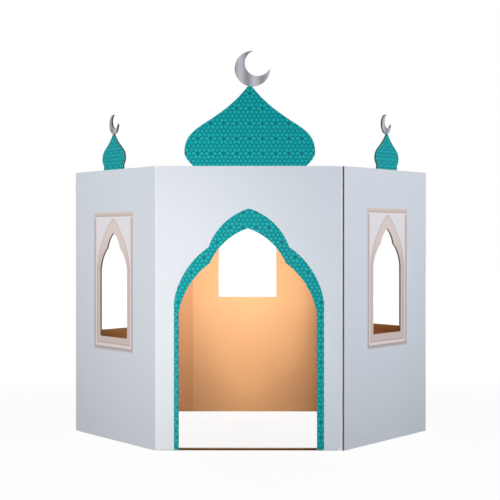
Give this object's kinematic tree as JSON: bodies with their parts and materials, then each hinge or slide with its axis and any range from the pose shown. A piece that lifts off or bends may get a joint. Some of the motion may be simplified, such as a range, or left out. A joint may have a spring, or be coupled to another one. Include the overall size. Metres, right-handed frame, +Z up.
{
  "type": "cardboard playhouse",
  "caption": "Open-topped six-sided cardboard playhouse with an arched doorway, arched side windows and cut-out onion domes, folded from printed corrugated board.",
  "frame": {"origin": "on the floor at the middle of the plan", "axes": "+Z up, the doorway faces -Y, +X to the right seen from the front"},
  "size_m": [1.6586, 1.3724, 1.7135],
  "materials": {
    "printed_board": "white printed double-wall corrugated board, teal lattice print and silver print outside, brown kraft inside"
  },
  "bodies": {
    "root": {"front_wall_sheet": "printed_board", "rear_wall_sheet": "printed_board"}
  },
  "joints": []
}
